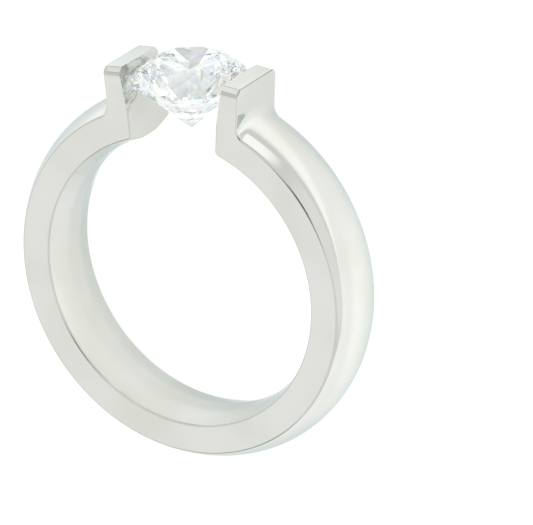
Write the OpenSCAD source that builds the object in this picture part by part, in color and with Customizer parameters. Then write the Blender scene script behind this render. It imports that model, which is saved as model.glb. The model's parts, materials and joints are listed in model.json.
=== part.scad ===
// Tension set ring: one forged metal piece whose two ends stand up as posts
// and grip a round brilliant diamond between them. Millimetres.
// The ring lies on its back side face. The origin is the centre of the finger
// hole, halfway across the band; +Z runs along the finger and +Y to the stone.

/* [Finger hole] */
// Diameter of the finger hole at its narrowest, halfway across the band
hole_d = 17.3; // [16:0.1:19]
// Width of the straight part of the hole's wall
land_w = 1.2; // [0.8:0.1:1.8]
// How far the wall eases away from the finger at each rim
rim_ease = 0.4; // [0.25:0.05:0.6]

/* [Band] */
// Width of the band along the finger
band_w = 4.4; // [3.8:0.1:5.2]
// Thickness of the band at its flat side faces
side_t = 1.76; // [1.4:0.02:2.2]
// Rise of the domed outside above the side faces
dome_h = 0.72; // [0.5:0.02:1]

/* [End posts] */
// Thickness of each post
post_t = 1.4; // [1.2:0.05:2]
// Lean of each post away from the gap, in degrees
splay_deg = 4.8; // [0:0.2:6]
// Height of each post above the top edge of the girdle
lip_h = 0.65; // [0.5:0.05:0.9]
// Flat bevel along the front and back top edges of each post
top_bevel = 0.35; // [0.15:0.05:0.5]
// Radius of the blend between a post and the dome
blend_r = 0.75; // [0.5:0.05:1.1]

/* [Diamond] */
// Diameter of the girdle
stone_d = 7; // [6:0.1:8]
// Diameter of the table, across its corners
table_d = 4; // [3.4:0.1:4.6]
// Thickness of the girdle at its thick places
girdle_t = 0.24; // [0.16:0.02:0.3]
// Slope of the main crown facets in degrees
crown_deg = 35.5; // [32:0.5:36]
// Slope of the main pavilion facets in degrees
pavilion_deg = 41; // [40:0.2:42]
// Height of the diamond's point above the finger hole
point_h = 0.38; // [0.3:0.02:1]
// Turn of the diamond about its own axis, in degrees
turn_deg = 7.4; // [0:0.2:44]

/* [Seat] */
// Depth that the girdle goes into each post
bite = 0.3; // [0.25:0.05:0.5]
// Clearance between the diamond and its seat
seat_gap = 0.03; // [0.02:0.01:0.05]
// Depth of the flared relief at the top corners of each post's inner face
flare_d = 0.3; // [0.15:0.01:0.45]
// Length of the relief, down from the top of the post
flare_l = 2.8; // [1.8:0.1:3]
// Drop of the relief's lower edge from the middle of the post to its sides
flare_drop = 1.4; // [0.6:0.1:1.6]

/* [Hidden] */
$fn = 128;
cut_over = 1;       // how far a cutting shape runs past what it cuts
tuck = 0.2;         // how far a blend's body reaches into the metal beside it
blend_sink = 0.004; // keeps a blend's ends just under the faces that they meet

// Band
hole_r = hole_d / 2;
rim_r = hole_r + rim_ease;
side_r = rim_r + side_t;
top_r = side_r + dome_h;
half_w = band_w / 2;
dome_arc_r = (pow(dome_h, 2) + pow(half_w, 2)) / (2 * dome_h);
dome_centre_r = top_r - dome_arc_r;
ease_run = half_w - land_w / 2;
ease_arc_r = (pow(rim_ease, 2) + pow(ease_run, 2)) / (2 * rim_ease);

// Diamond: heights are along +Y, from the centre of the finger hole
FACETS = 8;          // main facets around the crown, and around the pavilion
GIRDLE_STEPS = 4;    // points along the girdle for each half facet
STAR_SHARE = 0.5;    // how far the star facets reach from the table to the girdle
LOWER_SHARE = 0.77;  // how far the lower half facets reach down to the point
main_step = 360 / FACETS;
half_step = main_step / 2;
stone_r = stone_d / 2;
table_r = table_d / 2;
star_r = table_r * cos(half_step) * (1 - STAR_SHARE) + stone_r * STAR_SHARE;
lower_r = stone_r * (1 - LOWER_SHARE);
point_y = hole_r + point_h;
lower_y = point_y + lower_r * cos(half_step) * tan(pavilion_deg);
girdle_low_y = point_y + stone_r * tan(pavilion_deg);
girdle_top_y = girdle_low_y + girdle_t;
star_y = girdle_top_y + (stone_r - star_r * cos(half_step)) * tan(crown_deg);
table_y = girdle_top_y + (stone_r - table_r) * tan(crown_deg);

// End posts. Each is drawn upright in its own frame, then leans about the centre of
// the finger hole. Its inner face is gap_in from the frame's Y axis.
seat_x = stone_r - bite;
gap_in = seat_x * cos(splay_deg) - girdle_top_y * sin(splay_deg);
post_out = gap_in + post_t;
post_top = seat_x * sin(splay_deg) + girdle_top_y * cos(splay_deg) + lip_h;

// Blend: a ball of blend_r rolls along the corner, touching the post and the dome.
// Its centre follows an arc about a line that runs parallel to X.
ball_x = post_out + blend_r;
ball_mid_y = sqrt(pow(top_r + blend_r, 2) - pow(ball_x, 2));
ball_side_r = dome_centre_r + sqrt(pow(dome_arc_r + blend_r, 2) - pow(half_w, 2));
ball_side_y = sqrt(pow(ball_side_r, 2) - pow(ball_x, 2));
ball_sag = ball_mid_y - ball_side_y;
ball_path_r = (pow(ball_sag, 2) + pow(half_w, 2)) / (2 * ball_sag);
ball_axis_y = ball_mid_y - ball_path_r;
blend_end_x = ball_x * top_r / (top_r + blend_r);

// Section of the band: flat sides, a domed outside and an eased finger hole
module band_section() {
    difference() {
        intersection() {
            translate([hole_r, -half_w]) square([top_r - hole_r, band_w]);
            translate([dome_centre_r, 0]) circle(dome_arc_r);
        }
        for (side = [0, 1]) mirror([0, side]) difference() {
            translate([hole_r - cut_over, land_w / 2]) square([cut_over + ease_arc_r, half_w]);
            translate([hole_r + ease_arc_r, land_w / 2]) circle(ease_arc_r);
        }
    }
}

// Block that the right post is cut from, with bevelled top edges. It reaches in
// past the gap's face, which the gap then cuts.
module post_block() {
    outline = [
        [rim_r, -half_w], [post_top - top_bevel, -half_w], [post_top, top_bevel - half_w],
        [post_top, half_w - top_bevel], [post_top - top_bevel, half_w], [rim_r, half_w],
    ];
    rotate([90, 0, 90]) linear_extrude(post_out) polygon(outline);
}

// Hollow blend where the right post's outer face runs into the dome
module post_blend() {
    intersection() {
        translate([0, ball_axis_y, 0]) rotate([0, 90, 0]) rotate_extrude() difference() {
            translate([ball_path_r - blend_r - tuck, post_out - tuck])
                square([blend_r + tuck, blend_end_x - post_out + tuck]);
            translate([ball_path_r - blend_sink, ball_x - blend_sink]) circle(blend_r);
        }
        translate([0, ball_axis_y, -half_w]) cube([ball_x, post_top - ball_axis_y, band_w]);
    }
}

// Seat: the outline of the diamond, grown by the clearance, spun about its axis
module seat() {
    rotate([-90, 0, 0]) rotate_extrude() polygon([
        [0, lower_y - seat_gap],
        [lower_r + seat_gap, lower_y - seat_gap],
        [stone_r + seat_gap, girdle_low_y - seat_gap],
        [stone_r + seat_gap, girdle_top_y + seat_gap],
        [star_r + seat_gap, star_y + seat_gap],
        [0, star_y + seat_gap],
    ]);
}

// Relief on the inner face of the right post, towards the front: a flat facet
// that starts as a point on the corner and widens upwards
module flare() {
    drop_slope = flare_drop / half_w;
    depth_slope = flare_d / flare_l;
    reach = cut_over / depth_slope;
    tip_y = post_top - flare_l;
    inner_x = gap_in - cut_over;
    front_z = half_w + cut_over;
    over_y = post_top + cut_over;
    outer_x = gap_in + depth_slope * (over_y - tip_y + drop_slope * cut_over);
    polyhedron(
        points = [
            [inner_x, tip_y - drop_slope * cut_over - reach, front_z],
            [inner_x, over_y, front_z],
            [outer_x, over_y, front_z],
            [inner_x, over_y, half_w - (over_y - tip_y + reach) / drop_slope],
        ],
        faces = [[0, 1, 2], [0, 3, 1], [0, 2, 3], [1, 3, 2]]
    );
}

// Places what belongs to the right post, and its mirror image on the left
module at_posts() {
    for (side = [0, 1]) mirror([side, 0, 0]) rotate([0, 0, -splay_deg]) children();
}

// The gap between the posts' inner faces, which widens upwards
module gap() {
    over_y = post_top + cut_over;
    low_x = gap_in / cos(splay_deg);
    high_x = (gap_in + over_y * sin(splay_deg)) / cos(splay_deg);
    linear_extrude(band_w + 2 * cut_over, center = true)
        polygon([[-low_x, 0], [low_x, 0], [high_x, over_y], [-high_x, over_y]]);
}

module band() {
    color([0.87, 0.87, 0.84]) difference() {
        union() {
            rotate_extrude() band_section();
            at_posts() {
                post_block();
                post_blend();
            }
        }
        gap();
        seat();
        at_posts() for (z = [0, 1]) mirror([0, 0, z]) flare();
    }
}

// A point at a radius, an angle about the stone's axis and a height
function ring_point(r, angle, y) = [r * sin(angle), y, r * cos(angle)];
function ring_of(r, y, first) = [for (i = [0:FACETS - 1]) ring_point(r, first + i * main_step, y)];

// Height of a half facet where it runs out at the round girdle. Its plane holds
// the chord between its two girdle corners and the inner corner at r, y.
function scallop_y(angle, corner_y, r, y) =
    let (off = angle % half_step - half_step / 2,
         chord_r = stone_r * cos(half_step / 2),
         slope = (y - corner_y) / (chord_r - r * cos(half_step / 2)))
    corner_y - slope * (stone_r * cos(off) - chord_r);

module diamond() {
    n_girdle = 2 * FACETS * GIRDLE_STEPS;
    girdle_step = 360 / n_girdle;
    // The first point of each ring in the list of points
    star = FACETS;
    upper = 2 * FACETS;
    under = upper + n_girdle;
    lower = under + n_girdle;
    tip = lower + FACETS;
    main_points = 2 * GIRDLE_STEPS;

    points = concat(
        ring_of(table_r, table_y, 0),
        ring_of(star_r, star_y, half_step),
        [for (i = [0:n_girdle - 1]) ring_point(stone_r, i * girdle_step,
            scallop_y(i * girdle_step, girdle_top_y, star_r, star_y))],
        [for (i = [0:n_girdle - 1]) ring_point(stone_r, i * girdle_step,
            scallop_y(i * girdle_step, girdle_low_y, lower_r, lower_y))],
        ring_of(lower_r, lower_y, half_step),
        [[0, point_y, 0]]
    );
    function after(i, step) = (i + step) % FACETS;
    function girdle(i) = i % n_girdle;

    faces = concat(
        [[for (i = [0:FACETS - 1]) FACETS - 1 - i]],
        [for (i = [0:FACETS - 1]) [i, after(i, 1), star + i]],
        [for (i = [0:FACETS - 1])
            [i, star + i, upper + i * main_points, star + after(i, FACETS - 1)]],
        [for (i = [0:FACETS - 1], half = [0, 1])
            concat([star + i], [for (j = [GIRDLE_STEPS:-1:0])
                upper + girdle(i * main_points + half * GIRDLE_STEPS + j)])],
        [for (i = [0:n_girdle - 1])
            [upper + i, upper + girdle(i + 1), under + girdle(i + 1), under + i]],
        [for (i = [0:FACETS - 1], half = [0, 1])
            concat([lower + i], [for (j = [0:GIRDLE_STEPS])
                under + girdle(i * main_points + half * GIRDLE_STEPS + j)])],
        [for (i = [0:FACETS - 1])
            [tip, lower + after(i, FACETS - 1), under + i * main_points, lower + i]]
    );
    color([0.94, 0.97, 1, 0.6]) rotate([0, turn_deg, 0])
        polyhedron(points = points, faces = faces);
}

band();
diamond();
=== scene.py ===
import json
import math

import bpy
from mathutils import Matrix, Vector


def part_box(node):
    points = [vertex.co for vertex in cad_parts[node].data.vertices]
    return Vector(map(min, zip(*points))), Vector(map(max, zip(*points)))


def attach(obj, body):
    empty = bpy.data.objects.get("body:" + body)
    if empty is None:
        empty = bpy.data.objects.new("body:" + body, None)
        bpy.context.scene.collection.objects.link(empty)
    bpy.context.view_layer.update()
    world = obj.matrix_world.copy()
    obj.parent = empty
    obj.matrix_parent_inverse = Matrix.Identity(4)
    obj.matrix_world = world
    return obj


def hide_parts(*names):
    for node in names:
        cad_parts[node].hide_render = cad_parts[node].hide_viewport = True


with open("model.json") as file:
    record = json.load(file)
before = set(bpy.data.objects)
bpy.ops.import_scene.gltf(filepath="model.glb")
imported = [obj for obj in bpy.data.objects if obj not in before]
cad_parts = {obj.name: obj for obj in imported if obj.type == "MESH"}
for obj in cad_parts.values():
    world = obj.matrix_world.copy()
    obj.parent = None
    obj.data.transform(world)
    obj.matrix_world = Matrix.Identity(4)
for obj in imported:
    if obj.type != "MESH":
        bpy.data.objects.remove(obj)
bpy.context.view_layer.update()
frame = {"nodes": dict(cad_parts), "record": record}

MM = 0.001
band_low, band_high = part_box("band")
stone_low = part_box("diamond")[0]

# Sizes of the band, from the frame where it gives them
HOLE_R = frame["record"]["mounts"][0]["dims"]["r_mm"] * MM
LAND_W = frame["record"]["mounts"][0]["dims"]["length_mm"] * MM
HALF_W = band_high.z
CREST_R = min(band_high.x, -band_low.y)
DOME_RISE = 0.72 * MM
RIM_EASE = 0.4 * MM
EASE_CURVE = 1.25             # 1 is a straight cone, 2 close to an arc
EDGE_R = 0.09 * MM            # softening of the long edges, as a polisher leaves them
CORNER_R = 0.3 * MM           # softening where the gap meets the finger hole

# Sizes of the posts, which lean away from the gap about the centre of the finger hole
SPLAY = math.radians(4.8)
POST_T = 1.4 * MM
TOP_BEVEL = 0.35 * MM
TOP_EDGE_R = 0.07 * MM
CREASE_W = 0.045 * MM
BROW_R = 0.45 * MM            # soft turn from the bevel down into the front and back
BLEND_R = 0.8 * MM
BITE = 0.3 * MM

# Sizes of the stone that the seat follows
STONE_R = 3.5 * MM
GIRDLE_T = 0.24 * MM
CROWN = math.radians(35.5)
PAVILION = math.radians(41)
SEAT_GAP = 0.03 * MM

# Relief at the front and back corners of each post's inner face
FLARE_D = 0.3 * MM
FLARE_L = 2.8 * MM
FLARE_DROP = 1.4 * MM
CUT_EDGE_R = 0.05 * MM

# How finely the band is drawn
ROUND_STEPS = 120             # along each half of the finger hole, and of the dome
GAP_STEPS = 16                # up the inner face of a post
TOP_STEPS = 5                 # across the top of a post
OUTER_STEPS = 8               # down the outer face of a post
BLEND_STEPS = 14
CORNER_STEPS = 6
TOP_EDGE_STEPS = 4
EDGE_STEPS = 5                # over the rounded edge of a side face
SEAT_STEPS = 96               # round the seat
BEVEL_STEPS = 3               # over an edge that a cutter left
SLICE_HEIGHTS = (0, 0.2, 0.4, 0.6, 0.75, 0.9, 1.05, 1.2, 1.35, 1.5, 1.65)  # mm from the middle
CREASE_SHARES = (-1, -0.6, -0.2, 0.2, 0.6, 1)   # of the crease's half width
BROW_SHARES = (3, 2.1, 1.6, 1.3)                # of the edge's radius, in from the side face
WELD = 0.0005 * MM            # points closer than this become one
ON_FACE = 0.001 * MM          # points closer than this to a side face belong to it
SHARP_ANGLE = math.radians(28)   # steeper edges stay sharp in the shading
ROUND_ANGLE = math.radians(35)   # steeper edges are rounded after the cuts
WEIGHTING = 80                # how far big faces rule the shading at the edges between faces

# The stone's outline that the seat follows, as shares of its radius
LOWER_SHARE = 0.23            # where the pavilion's lower facets end
STAR_SHARE = 0.76             # where the star facets end

# What follows from them
dome_arc_r = (DOME_RISE ** 2 + HALF_W ** 2) / (2 * DOME_RISE)
dome_centre_r = CREST_R - dome_arc_r
ease_run = HALF_W - LAND_W / 2
girdle_low_y = stone_low.y + STONE_R * math.tan(PAVILION)
girdle_top_y = girdle_low_y + GIRDLE_T
seat_x = STONE_R - BITE
gap_in = seat_x * math.cos(SPLAY) - girdle_top_y * math.sin(SPLAY)
post_out = gap_in + POST_T
lip_corner_y = band_high.y
post_top = (lip_corner_y + gap_in * math.sin(SPLAY)) / math.cos(SPLAY)


def deselect():
    """Leaves edit mode and selects nothing."""
    if bpy.context.object and bpy.context.object.mode != "OBJECT":
        bpy.ops.object.mode_set(mode="OBJECT")
    bpy.ops.object.select_all(action="DESELECT")


def pick(piece):
    """Makes a piece the only one that operators act on."""
    deselect()
    piece.select_set(True)
    bpy.context.view_layer.objects.active = piece


def named(name):
    """Names the object that an operator has just made, and its mesh."""
    piece = bpy.context.object
    piece.name = name
    piece.data.name = name
    return piece


def settle(piece):
    """Moves the piece's place into its mesh."""
    pick(piece)
    bpy.ops.object.transform_apply(location=True, rotation=True, scale=True)


def cut(piece, cutter):
    """Cuts the cutter out of the piece and throws the cutter away."""
    pick(piece)
    modifier = piece.modifiers.new("cut", "BOOLEAN")
    modifier.operation = "DIFFERENCE"
    modifier.solver = "EXACT"
    modifier.object = cutter
    bpy.ops.object.modifier_apply(modifier=modifier.name)
    bpy.data.objects.remove(cutter, do_unlink=True)


def arc(centre, radius, start, end, steps):
    """Points along an arc, both ends included; angles in radians from +X."""
    turns = [start + (end - start) * i / steps for i in range(steps + 1)]
    return [(centre[0] + radius * math.cos(a), centre[1] + radius * math.sin(a)) for a in turns]


def line(start, end, steps):
    """Points along a straight line, both ends left out."""
    return [(start[0] + (end[0] - start[0]) * i / steps, start[1] + (end[1] - start[1]) * i / steps)
            for i in range(1, steps)]


def turned(points, angle):
    """Points turned about the centre of the finger hole."""
    c, s = math.cos(angle), math.sin(angle)
    return [(x * c - y * s, x * s + y * c) for x, y in points]


def hole_radius(z):
    """The comfort-fit wall: straight in the middle, then eased away to each rim."""
    run = max(0.0, abs(z) - LAND_W / 2)
    return HOLE_R + RIM_EASE * (run / ease_run) ** EASE_CURVE


def dome_radius(z):
    """The domed outside of the band at a height z."""
    return dome_centre_r + math.sqrt(dome_arc_r ** 2 - z ** 2)


def top_height(z):
    """Height of a post's top, which drops at a bevel along its front and back. The crease
    above the bevel is crisp; below, the bevel rolls softly into the side face."""
    past = abs(z) - (HALF_W - TOP_BEVEL)
    if abs(past) < CREASE_W:
        return post_top - (past + CREASE_W) ** 2 / (4 * CREASE_W)
    tangent = BROW_R * math.tan(math.pi / 8)
    if abs(z) > HALF_W - tangent * math.cos(math.pi / 4):
        roll_z, roll_y = HALF_W - BROW_R, post_top - TOP_BEVEL - tangent
        return roll_y + math.sqrt(max(0, BROW_R ** 2 - (abs(z) - roll_z) ** 2))
    return post_top - max(0.0, past)


def right_half(z, inset):
    """The right half of the ring's outline at a height z, drawn in by inset: along the
    finger hole, up the gap, over the post, down the blend and round the dome."""
    hole, dome = hole_radius(z) + inset, dome_radius(z) - inset
    face, out, top = gap_in + inset, post_out - inset, top_height(z) - inset
    bottom = -math.pi / 2 + SPLAY

    corner_r = CORNER_R - inset
    corner = (face + corner_r, math.sqrt((hole + corner_r) ** 2 - (face + corner_r) ** 2))
    corner_a = math.atan2(corner[1], corner[0])
    blend_r = BLEND_R + inset
    blend = (out + blend_r, math.sqrt((dome + blend_r) ** 2 - (out + blend_r) ** 2))
    blend_a = math.atan2(blend[1], blend[0])
    inner_edge = (face + TOP_EDGE_R, top - TOP_EDGE_R)
    outer_edge = (out - TOP_EDGE_R, top - TOP_EDGE_R)

    points = arc((0, 0), hole, bottom, corner_a, ROUND_STEPS)[:-1]
    points += arc(corner, corner_r, math.pi + corner_a, math.pi, CORNER_STEPS)
    points += line((face, corner[1]), (face, inner_edge[1]), GAP_STEPS)
    points += arc(inner_edge, TOP_EDGE_R, math.pi, math.pi / 2, TOP_EDGE_STEPS)
    points += line((inner_edge[0], top), (outer_edge[0], top), TOP_STEPS)
    points += arc(outer_edge, TOP_EDGE_R, math.pi / 2, 0, TOP_EDGE_STEPS)
    points += line((out, outer_edge[1]), (out, blend[1]), OUTER_STEPS)
    points += arc(blend, blend_r, math.pi, math.pi + blend_a, BLEND_STEPS)
    points += arc((0, 0), dome, blend_a, bottom, ROUND_STEPS)[1:]
    return turned(points, -SPLAY)


def outline(z, inset):
    """The whole outline, closed: the right half, then its mirror image back."""
    right = right_half(z, inset)
    left = [(-x, y) for x, y in reversed(right)]
    return right[:-1] + left[:-1]


def slices():
    """Heights of the outlines from back to front, each with how far it is drawn in. The
    edges at both sides are rounded, and slices crowd where the posts' tops are creased."""
    rounding = [(HALF_W - EDGE_R * (1 - math.sin(a)), EDGE_R * (1 - math.cos(a)))
                for a in (math.pi / 2 * i / EDGE_STEPS for i in range(EDGE_STEPS + 1))]
    crease = HALF_W - TOP_BEVEL
    front = [(height * MM, 0.0) for height in SLICE_HEIGHTS]
    front += [(crease + CREASE_W * share, 0.0) for share in CREASE_SHARES]
    front += [(HALF_W - EDGE_R * share, 0.0) for share in BROW_SHARES]
    front += rounding
    back = [(-z, inset) for z, inset in reversed(front[1:])]
    return back + front


def wrap_band():
    """A grid wrapped round the outlines, sewn shut and capped with the flat side faces."""
    levels = slices()
    rings = [outline(z, inset) for z, inset in levels]
    columns, rows = len(rings[0]), len(rings)
    bpy.ops.mesh.primitive_grid_add(x_subdivisions=columns, y_subdivisions=rows - 1, size=1)
    piece = named("band_metal")
    for vertex in piece.data.vertices:
        column = round((vertex.co.x + 0.5) * columns) % columns
        row = round((vertex.co.y + 0.5) * (rows - 1))
        vertex.co = (*rings[row][column], levels[row][0])
    pick(piece)
    bpy.ops.object.mode_set(mode="EDIT")
    bpy.ops.mesh.select_all(action="SELECT")
    bpy.ops.mesh.remove_doubles(threshold=WELD)
    bpy.ops.mesh.select_all(action="DESELECT")
    for side in (-1, 1):
        bpy.ops.object.mode_set(mode="OBJECT")
        for vertex in piece.data.vertices:
            vertex.select = abs(vertex.co.z - side * HALF_W) < ON_FACE
        bpy.ops.object.mode_set(mode="EDIT")
        bpy.ops.mesh.select_mode(type="VERT")
        bpy.ops.mesh.edge_face_add()
        bpy.ops.mesh.select_all(action="DESELECT")
    bpy.ops.mesh.select_all(action="SELECT")
    bpy.ops.mesh.normals_make_consistent(inside=False)
    bpy.ops.object.mode_set(mode="OBJECT")
    return piece


def seat_cutter():
    """The stone's own outline, grown by the clearance and spun about its axis."""
    lower_r, star_r = STONE_R * LOWER_SHARE, STONE_R * STAR_SHARE
    lower_y = stone_low.y + lower_r * math.tan(PAVILION)
    star_y = girdle_top_y + (STONE_R - star_r) * math.tan(CROWN)
    profile = [(0, lower_y - SEAT_GAP), (lower_r, lower_y - SEAT_GAP),
               (STONE_R + SEAT_GAP, girdle_low_y - SEAT_GAP),
               (STONE_R + SEAT_GAP, girdle_top_y + SEAT_GAP),
               (star_r, star_y + SEAT_GAP), (0, star_y + SEAT_GAP)]
    bpy.ops.mesh.primitive_circle_add(vertices=len(profile), radius=1)
    cutter = named("seat_cutter")
    for vertex, (r, y) in zip(cutter.data.vertices, profile):
        vertex.co = (r, y, 0)
    pick(cutter)
    bpy.ops.object.mode_set(mode="EDIT")
    bpy.ops.mesh.select_all(action="SELECT")
    bpy.ops.mesh.spin(steps=SEAT_STEPS, angle=2 * math.pi, center=(0, 0, 0), axis=(0, 1, 0))
    bpy.ops.mesh.select_all(action="SELECT")
    bpy.ops.mesh.remove_doubles(threshold=WELD)
    bpy.ops.mesh.select_all(action="SELECT")
    bpy.ops.mesh.dissolve_degenerate(threshold=WELD)
    bpy.ops.mesh.select_all(action="SELECT")
    bpy.ops.mesh.normals_make_consistent(inside=False)
    bpy.ops.object.mode_set(mode="OBJECT")
    return cutter


def flare_cutter(side, face):
    """A block whose one side is the flat relief at a corner of a post's inner face."""
    tip = Vector((gap_in, post_top - FLARE_L, HALF_W))
    up_front = Vector((FLARE_D / FLARE_L, 1, 0)).normalized()
    along_gap = Vector((0, FLARE_DROP / HALF_W, -1)).normalized()
    normal = up_front.cross(along_gap).normalized()
    if normal.x > 0:
        normal = -normal
    across = normal.cross(up_front).normalized()
    reach, depth = 8 * MM, 1.6 * MM
    bpy.ops.mesh.primitive_cube_add(size=1)
    cutter = named("flare_cutter")
    axes = Matrix((up_front, across, normal)).transposed().to_4x4()
    cutter.matrix_world = (Matrix.Translation(tip + normal * depth / 2) @ axes
                           @ Matrix.Diagonal((reach, reach, depth, 1)))
    settle(cutter)
    lean = Matrix.Rotation(-SPLAY, 4, "Z")
    cutter.data.transform(Matrix.Diagonal((side, 1, face, 1)) @ lean)
    pick(cutter)
    bpy.ops.object.mode_set(mode="EDIT")
    bpy.ops.mesh.select_all(action="SELECT")
    bpy.ops.mesh.normals_make_consistent(inside=False)
    bpy.ops.object.mode_set(mode="OBJECT")
    return cutter


def break_sharp_edges(piece, width):
    """Rounds the edges that the cutters left, as a polishing wheel does."""
    pick(piece)
    bevel = piece.modifiers.new("polished", "BEVEL")
    bevel.width = width
    bevel.segments = BEVEL_STEPS
    bevel.limit_method = "ANGLE"
    bevel.angle_limit = ROUND_ANGLE
    bpy.ops.object.modifier_apply(modifier=bevel.name)


def smooth_edges(piece, angle):
    """Rounds the shading over gentle angles and keeps the big flat faces flat."""
    pick(piece)
    bpy.ops.object.shade_smooth_by_angle(angle=angle)
    weighted = piece.modifiers.new("weighted", "WEIGHTED_NORMAL")
    weighted.keep_sharp = True
    weighted.weight = WEIGHTING
    bpy.ops.object.modifier_apply(modifier=weighted.name)


def make_band():
    """The whole metal part, with the seat and the four reliefs cut into it."""
    piece = wrap_band()
    cut(piece, seat_cutter())
    for side in (-1, 1):
        for face in (-1, 1):
            cut(piece, flare_cutter(side, face))
    break_sharp_edges(piece, CUT_EDGE_R)
    smooth_edges(piece, SHARP_ANGLE)
    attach(piece, "root")
    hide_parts("band")
    return piece


class Wire:
    """A node's output that can be used in plain arithmetic."""

    def __init__(self, tree, socket):
        self.tree, self.socket = tree, socket

    def math(self, operation, *others):
        """A Math node with this output first and the others after it."""
        return make(self.tree, "ShaderNodeMath", {"operation": operation},
                    **{str(i): v for i, v in enumerate((self,) + others)})

    def __add__(self, other):
        return self.math("ADD", other)

    def __sub__(self, other):
        return self.math("SUBTRACT", other)

    def __mul__(self, other):
        return self.math("MULTIPLY", other)

    def __rsub__(self, other):
        return make(self.tree, "ShaderNodeMath", {"operation": "SUBTRACT"},
                    **{"0": other, "1": self})

    __radd__ = __add__
    __rmul__ = __mul__

    def out(self, number):
        """Another output of the same node."""
        return Wire(self.tree, self.socket.node.outputs[number])

    def ramp(self, low, high):
        """0 below low, 1 above high, and smooth between them."""
        return make(self.tree, "ShaderNodeMapRange", {"interpolation_type": "SMOOTHSTEP"},
                    Value=self, **{"From Min": low, "From Max": high})


def make(tree, kind, settings=None, output=0, **values):
    """A node of a kind: its settings first, then its sockets, by name or by number."""
    node = tree.nodes.new(kind)
    for name, value in (settings or {}).items():
        setattr(node, name, value)
    for name, value in values.items():
        socket = node.inputs[int(name)] if name.isdigit() else node.inputs[name]
        if isinstance(value, Wire):
            tree.links.new(value.socket, socket)
        else:
            socket.default_value = value
    return Wire(tree, node.outputs[output])


def mix_colours(tree, share, low, high):
    """The low colour where the share is 0, the high one where it is 1."""
    return make(tree, "ShaderNodeMix", {"data_type": "RGBA"}, output=2,
                **{"0": share, "6": low, "7": high})


def new_material(name):
    """An empty node material and its tree."""
    material = bpy.data.materials.new(name)
    material.use_nodes = True
    material.node_tree.nodes.clear()
    return material, material.node_tree


def finish_material(tree, shader):
    """Gives the shader to the material's output."""
    output = tree.nodes.new("ShaderNodeOutputMaterial")
    tree.links.new(shader.socket, output.inputs["Surface"])


# Colours of the metal and of the stone, linear red, green, blue and alpha
GOLD_DIM = (0.66, 0.669, 0.617, 1)
GOLD_BRIGHT = (0.712, 0.72, 0.688, 1)
# painted shade: the dark line along the posts' top edges, standing in for their reflections
GOLD_PAINTED_EDGE_SHADE = (0.36, 0.36, 0.35, 1)
GOLD_GRAZING = (0.71, 0.77, 0.79, 1)
STONE_CLEAR = (0.985, 1, 0.995, 1)
# painted fire: cool and warm tints that stand in for the colours dispersion splits light into
STONE_PAINTED_FIRE_COOL = (0.6, 0.8, 0.94, 1)
STONE_PAINTED_FIRE_WARM = (1, 0.84, 0.62, 1)
# painted shade towards the stone's point
STONE_PAINTED_POINT_SHADE = (0.27, 0.32, 0.32, 1)

# Patterns: how many times each repeats in a metre, and the span of its value over which
# the colour changes
CLOUDS_SCALE = 190.0
CLOUDS_SPAN = (0.3, 0.7)
GRAIN_SCALE = 6500.0
FIRE_SCALE = 1700.0
COOL_SPAN = (0.72, 0.9)
WARM_SPAN = (0.88, 0.96)
NOISE_MIDDLE = 0.5            # the value that a noise varies about

# How strongly the painted fire tints the stone, and how far up from the point the painted grey shade
# reaches
FIRE_SHARE = 0.08
COOL_SHARE = 0.8
WARM_SHARE = 0.5
POINT_SHADE_FULL = 0.2 * MM
POINT_SHADE_NONE = 1.3 * MM

# Dull roughness and a painted dark line along the posts' top edges, standing in for the dark
# reflections there: full up to the first distance, none from the second
EDGE_DULL_AND_SHADE_FULL = 0.03 * MM
EDGE_DULL_AND_SHADE_NONE = 0.08 * MM

# Roughness of the polish, and what is added to it
POLISHED = 0.06
SATIN = 0.13                  # on the flat side faces
DULLED = 0.1                  # along the worn edges
HANDLED = 0.06                # over the clouds
GROUND = 0.04                 # over the grain
SIDE_FACING = (0.9, 0.995)    # a face's tilt towards the finger's axis, from dome to side face
GRAIN_STRENGTH = 0.02
GRAIN_DEPTH = 0.02 * MM

DIAMOND_IOR = 2.417


def post_edges(tree, place):
    """1 along the long edges of the posts' tops, where the wheel has worn them dull, and where a
    painted dark line stands in for the dark reflections those edges catch.
    """
    x = make(tree, "ShaderNodeSeparateXYZ", Vector=place)
    across, y, z = x.math("ABSOLUTE"), x.out(1), x.out(2)
    c, s = math.cos(SPLAY), math.sin(SPLAY)
    dropped = (z.math("ABSOLUTE") - (HALF_W - TOP_BEVEL)).math("MAXIMUM", 0.0)
    upright = make(tree, "ShaderNodeCombineXYZ", X=across * c - y * s, Y=across * s + y * c + dropped)
    inner, outer = [make(tree, "ShaderNodeVectorMath", {"operation": "DISTANCE"}, output=1,
                         **{"0": upright, "1": (edge, post_top, 0)}) for edge in (gap_in, post_out)]
    return 1 - inner.math("MINIMUM", outer).ramp(EDGE_DULL_AND_SHADE_FULL, EDGE_DULL_AND_SHADE_NONE)


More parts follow.
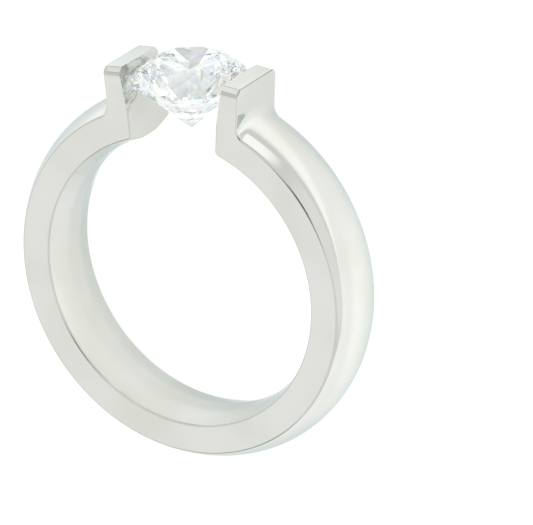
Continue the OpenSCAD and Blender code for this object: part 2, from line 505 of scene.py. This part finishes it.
def polished_gold():
    """White gold: mirror polish on the dome and the posts, fine satin on the side faces, soft
    clouding from handling, a fine grain from the polishing wheel, and dulled top edges on the posts
    with a painted dark line for their reflections."""
    material, tree = new_material("polished_white_gold")
    place = make(tree, "ShaderNodeTexCoord", output=3)
    clouds = make(tree, "ShaderNodeTexNoise", Vector=place, Scale=CLOUDS_SCALE, Detail=2.0,
                  Roughness=0.5)
    grain = make(tree, "ShaderNodeTexNoise", Vector=place, Scale=GRAIN_SCALE, Detail=3.0)
    shape = make(tree, "ShaderNodeNewGeometry", output=1)
    facing = make(tree, "ShaderNodeSeparateXYZ", output=2, Vector=shape)
    side_face = facing.math("ABSOLUTE").ramp(*SIDE_FACING)
    dulled_and_shaded = post_edges(tree, place)
    colour = mix_colours(tree, clouds.ramp(*CLOUDS_SPAN), GOLD_DIM, GOLD_BRIGHT)
    # painted shade: a dark line along the posts' top edges
    colour = mix_colours(tree, dulled_and_shaded, colour, GOLD_PAINTED_EDGE_SHADE)
    roughness = (POLISHED + side_face * SATIN + dulled_and_shaded * DULLED + (clouds - NOISE_MIDDLE) * HANDLED
                 + (grain - NOISE_MIDDLE) * GROUND)
    bump = make(tree, "ShaderNodeBump", Height=grain, Strength=GRAIN_STRENGTH,
                Distance=GRAIN_DEPTH)
    shader = make(tree, "ShaderNodeBsdfPrincipled", Metallic=1.0, Roughness=roughness, Normal=bump,
                  **{"Base Color": colour, "Specular Tint": GOLD_GRAZING})
    finish_material(tree, shader)
    return material


def clear_diamond():
    """Clear glass of a diamond's strength, with painted fire: faint tints from spot to spot that
    stand in for the colours dispersion splits light into; and painted grey shade towards its point,
    where it would be lost on the white floor."""
    material, tree = new_material("clear_diamond")
    place = make(tree, "ShaderNodeTexCoord", output=3)
    fire = make(tree, "ShaderNodeTexVoronoi", output=1, Vector=place, Scale=FIRE_SCALE)
    spots = make(tree, "ShaderNodeSeparateColor", Color=fire)
    painted_cool_fire, painted_warm_fire = spots.ramp(*COOL_SPAN), spots.out(2).ramp(*WARM_SPAN)
    height = make(tree, "ShaderNodeSeparateXYZ", output=1, Vector=place)
    # painted shade: greyer towards the stone's point
    tip = 1 - height.ramp(stone_low.y + POINT_SHADE_FULL, stone_low.y + POINT_SHADE_NONE)
    # painted fire: faint tints from spot to spot
    colour = mix_colours(tree, FIRE_SHARE, STONE_CLEAR, fire)
    colour = mix_colours(tree, painted_cool_fire * COOL_SHARE, colour, STONE_PAINTED_FIRE_COOL)
    colour = mix_colours(tree, painted_warm_fire * WARM_SHARE, colour, STONE_PAINTED_FIRE_WARM)
    colour = mix_colours(tree, tip, colour, STONE_PAINTED_POINT_SHADE)
    shader = make(tree, "ShaderNodeBsdfPrincipled", Roughness=0.0, IOR=DIAMOND_IOR,
                  **{"Base Color": colour, "Transmission Weight": 1.0})
    finish_material(tree, shader)
    return material


def dress(piece, material):
    """Makes the material the piece's only one."""
    piece.data.materials.clear()
    piece.data.materials.append(material)


# The camera stands where the photograph's did, as seen from the ring
CAMERA_TURN = math.radians(31.89)
CAMERA_RISE = math.radians(22.05)
CAMERA_ROLL = math.radians(-2.35)
CAMERA_FAR = 603.3 * MM
CAMERA_AIM = Vector((4.785, 1.304, 0)) * MM
CAMERA_LENS = 692.8


def camera_axes():
    """Right, up and back of the camera."""
    back = Vector((math.sin(CAMERA_TURN) * math.cos(CAMERA_RISE), math.sin(CAMERA_RISE),
                   math.cos(CAMERA_TURN) * math.cos(CAMERA_RISE)))
    level = Vector((math.cos(CAMERA_TURN), 0, -math.sin(CAMERA_TURN)))
    upright = back.cross(level)
    right = math.cos(CAMERA_ROLL) * level + math.sin(CAMERA_ROLL) * upright
    return right, back.cross(right), back


def place_camera():
    """The camera at the photograph's angle and distance."""
    right, up, back = camera_axes()
    data = bpy.data.cameras.new("camera")
    data.lens = CAMERA_LENS
    camera = bpy.data.objects.new("camera", data)
    bpy.context.scene.collection.objects.link(camera)
    turn = Matrix((right, up, back)).transposed().to_4x4()
    camera.matrix_world = Matrix.Translation(CAMERA_AIM + back * CAMERA_FAR) @ turn
    bpy.context.scene.camera = camera


# The floor's colour and glow, and how the glow changes: away from a place beside the ring,
# and along Y past the posts and far behind the stone
FLOOR_COLOUR = (0.7, 0.7, 0.7, 1)
FLOOR_ROUGH = 0.9
FLOOR_GLOW = 0.78
BESIDE_AT = Vector((12, -3, -3)) * MM
BESIDE_SPAN = (4 * MM, 13 * MM)
BESIDE_DROP = 0.16
POSTS_SPAN = (12 * MM, 15 * MM)
POSTS_RISE = 0.14
FAR_SPAN = (18 * MM, 40 * MM)
FAR_DROP = 0.48


def pale_floor():
    """A plain white light table, a little brighter beside the right of the ring and just
    past the posts, and a little dimmer far behind the stone."""
    material, tree = new_material("pale_floor")
    place = make(tree, "ShaderNodeNewGeometry")
    beside = make(tree, "ShaderNodeVectorMath", {"operation": "DISTANCE"}, output=1,
                  **{"0": place, "1": BESIDE_AT})
    behind = make(tree, "ShaderNodeSeparateXYZ", output=1, Vector=place)
    glow = (FLOOR_GLOW - beside.ramp(*BESIDE_SPAN) * BESIDE_DROP
            + behind.ramp(*POSTS_SPAN) * POSTS_RISE - behind.ramp(*FAR_SPAN) * FAR_DROP)
    light = make(tree, "ShaderNodeCombineColor", Red=glow, Green=glow, Blue=glow)
    shader = make(tree, "ShaderNodeBsdfPrincipled", Roughness=FLOOR_ROUGH,
                  **{"Base Color": FLOOR_COLOUR, "Emission Color": light,
                     "Emission Strength": 1.0})
    finish_material(tree, shader)
    return material


def make_floor():
    """The ring lies on its back face, held a little off the floor by the stone's edge: it
    touches at the edge of the girdle and at the far rim of the band."""
    girdle_y = (girdle_low_y + girdle_top_y) / 2
    far_rim = Vector((0, -dome_radius(HALF_W), -HALF_W))
    near = Vector((0, girdle_y, stone_low.z))
    tilt = math.atan2(near.z - far_rim.z, near.y - far_rim.y)
    deselect()
    bpy.ops.mesh.primitive_plane_add(size=2)
    floor = named("floor")
    floor.matrix_world = Matrix.Translation(near) @ Matrix.Rotation(tilt, 4, "X")
    dress(floor, pale_floor())


def toward_sky(azimuth, height):
    """A direction given as degrees round from +X to +Y and degrees above the floor."""
    turn, rise = math.radians(azimuth), math.radians(height)
    return Vector((math.cos(turn) * math.cos(rise), math.sin(turn) * math.cos(rise), math.sin(rise)))


def patch(tree, toward, azimuth, height, radius, softness):
    """1 inside a round patch of the sky and 0 outside it, all sizes in degrees."""
    near = make(tree, "ShaderNodeVectorMath", {"operation": "DOT_PRODUCT"}, output=1,
                **{"0": toward, "1": toward_sky(azimuth, height)})
    outer, inner = math.radians(radius + softness), math.radians(max(0, radius - softness))
    return near.ramp(math.cos(outer), math.cos(inner))


# The white tent: its level, and the soft patches that are brighter or darker than it.
# Azimuth, height, radius and softness are in degrees, and the last number is the change
TENT_LEVEL = 0.86
TENT_PATCHES = {
    "softbox that the front face mirrors": (217, 52, 20, 8, 0.2),
    "wall to the right": (8, 4, 40, 10, 0.15),
    "wall beyond the stone": (77, 5, 13, 9, 0.5),
    "wall beyond the left post": (135, 4, 6, 3, 0.4),
    "card that the bevels mirror": (122, 27, 10, 4, 0.25),
    "gap under that card": (121, 3, 8, 2, -0.7),
    "opening of the tent": (38, 76, 12, 5, -0.7),
    "lens": (37, 52, 8, 3, -0.8),
    "wall below the ring": (254, 15, 17, 8, -0.38),
    "ceiling behind the left post": (138, 46, 9, 5, -0.23),
    "gap beside the softbox": (178, 62, 8, 4, -0.22),
    "gap beyond the stone": (74, 30, 7, 4, -0.3),
}


def make_sky():
    """A white tent with soft patches, where the walls, the softbox and the gaps between
    them are brighter or darker than the rest."""
    world = bpy.data.worlds.new("tent")
    bpy.context.scene.world = world
    world.use_nodes = True
    tree = world.node_tree
    tree.nodes.clear()
    toward = make(tree, "ShaderNodeTexCoord", output=0)
    level = TENT_LEVEL
    for azimuth, height, radius, softness, change in TENT_PATCHES.values():
        level = level + patch(tree, toward, azimuth, height, radius, softness) * change
    background = make(tree, "ShaderNodeBackground", Strength=level, Color=(1, 1, 1, 1))
    output = tree.nodes.new("ShaderNodeOutputWorld")
    tree.links.new(background.socket, output.inputs["Surface"])


STONE_BOUNCES = 40


def let_light_cross_the_stone():
    """A cut stone throws light from facet to facet many times before it lets it out."""
    cycles = bpy.context.scene.cycles
    cycles.max_bounces = cycles.glossy_bounces = cycles.transmission_bounces = STONE_BOUNCES


make_band()
band = bpy.data.objects["band_metal"]
dress(band, polished_gold())
dress(frame["nodes"]["diamond"], clear_diamond())
place_camera()
make_floor()
make_sky()
bpy.context.scene.view_settings.view_transform = "Standard"
let_light_cross_the_stone()
